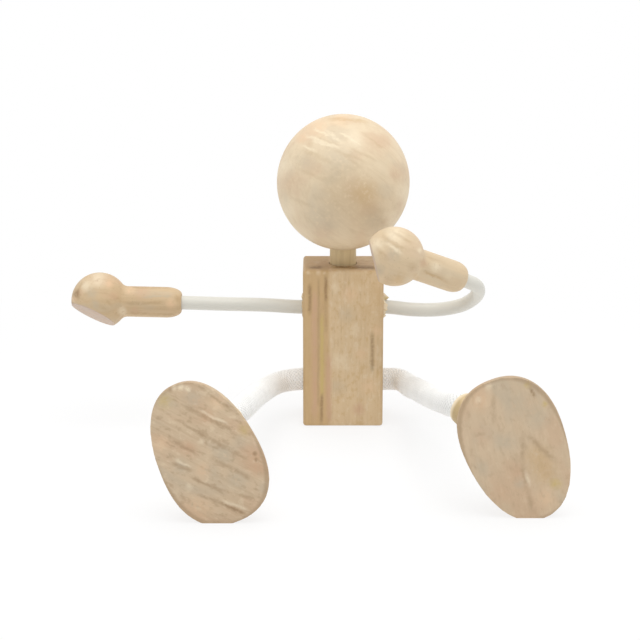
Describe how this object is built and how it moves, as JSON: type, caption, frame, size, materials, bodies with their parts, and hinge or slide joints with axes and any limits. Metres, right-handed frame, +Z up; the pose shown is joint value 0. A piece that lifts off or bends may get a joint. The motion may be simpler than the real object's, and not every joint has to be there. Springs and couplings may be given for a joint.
{
  "type": "wooden doll",
  "caption": "Sitting doll of plain wood: ball head on a dowel, block torso, turned peg hands and half-egg feet on bendable white cord limbs.",
  "frame": {"origin": "centre of the torso block's base, on the surface that the doll sits on", "axes": "+Z up; the doll faces -Y with its legs forward; -X is its raised straight arm's side, the left as seen from the front"},
  "size_m": [0.1423, 0.1118, 0.0945],
  "materials": {
    "head_wood": "fine-sanded bare wood",
    "neck_wood": "bare dowel",
    "torso_wood": "sanded bare wood, grain upright",
    "hand_wood": "turned bare wood",
    "foot_wood": "sawn and sanded bare wood",
    "arm_cord": "smooth white sheath",
    "leg_cord": "white, close woven sheath",
    "wire": "drawn"
  },
  "bodies": {
    "torso": {"torso_block": "torso_wood", "neck_dowel": "neck_wood", "arm_cord_centre": "arm_cord", "leg_cord_centre": "leg_cord", "arm_wire": "wire", "leg_wire": "wire"},
    "head": {"head": "head_wood"},
    "left_upper_arm": {"left_upper_arm": "arm_cord"},
    "left_forearm": {"left_forearm": "arm_cord", "left_hand": "hand_wood"},
    "right_upper_arm": {"right_upper_arm": "arm_cord"},
    "right_forearm": {"right_forearm": "arm_cord", "right_hand": "hand_wood"},
    "left_thigh": {"left_thigh": "leg_cord"},
    "left_shin": {"left_shin": "leg_cord", "left_foot": "foot_wood"},
    "right_thigh": {"right_thigh": "leg_cord"},
    "right_shin": {"right_shin": "leg_cord", "right_foot": "foot_wood"}
  },
  "joints": [
    {"name": "head_turn", "type": "hinge", "parent": "torso", "child": "head", "pos_m": [0, 0, 0.054], "axis": [0, 0, 1], "continuous": true},
    {"name": "left_shoulder_raise", "type": "hinge", "parent": "torso", "child": "left_upper_arm", "pos_m": [-0.01465, 0, 0.0352], "axis": [0, 1, 0], "range_deg": [-50, 65], "deforming": ["left_upper_arm", "arm_wire"]},
    {"name": "left_elbow_bend", "type": "hinge", "parent": "left_upper_arm", "child": "left_forearm", "pos_m": [-0.03054, -0.00145, 0.03637], "axis": [0, 0, 1], "range_deg": [-30, 110], "deforming": ["left_upper_arm", "left_forearm", "arm_wire"]},
    {"name": "right_shoulder_raise", "type": "hinge", "parent": "torso", "child": "right_upper_arm", "pos_m": [0.01465, 0, 0.0352], "axis": [0, -1, 0], "range_deg": [-20, 45], "deforming": ["right_upper_arm", "arm_wire"]},
    {"name": "right_elbow_open", "type": "hinge", "parent": "right_upper_arm", "child": "right_forearm", "pos_m": [0.0401, -0.00957, 0.04133], "axis": [0, 0.541, 0.841], "range_deg": [0, 150], "deforming": ["right_upper_arm", "right_forearm", "arm_wire"]},
    {"name": "left_hip_swing", "type": "hinge", "parent": "torso", "child": "left_thigh", "pos_m": [-0.01335, 0, 0.0121], "axis": [1, 0, 0], "range_deg": [-25, 90], "deforming": ["left_thigh", "leg_wire"]},
    {"name": "left_knee_bend", "type": "hinge", "parent": "left_thigh", "child": "left_shin", "pos_m": [-0.02571, -0.03473, 0.01746], "axis": [1, 0, 0], "range_deg": [-20, 90], "deforming": ["left_thigh", "left_shin", "leg_wire"]},
    {"name": "right_hip_swing", "type": "hinge", "parent": "torso", "child": "right_thigh", "pos_m": [0.01335, 0, 0.0121], "axis": [1, 0, 0], "range_deg": [-25, 90], "deforming": ["right_thigh", "leg_wire"]},
    {"name": "right_knee_bend", "type": "hinge", "parent": "right_thigh", "child": "right_shin", "pos_m": [0.02391, -0.03603, 0.01847], "axis": [1, 0, 0], "range_deg": [-20, 90], "deforming": ["right_thigh", "right_shin", "leg_wire"]}
  ]
}
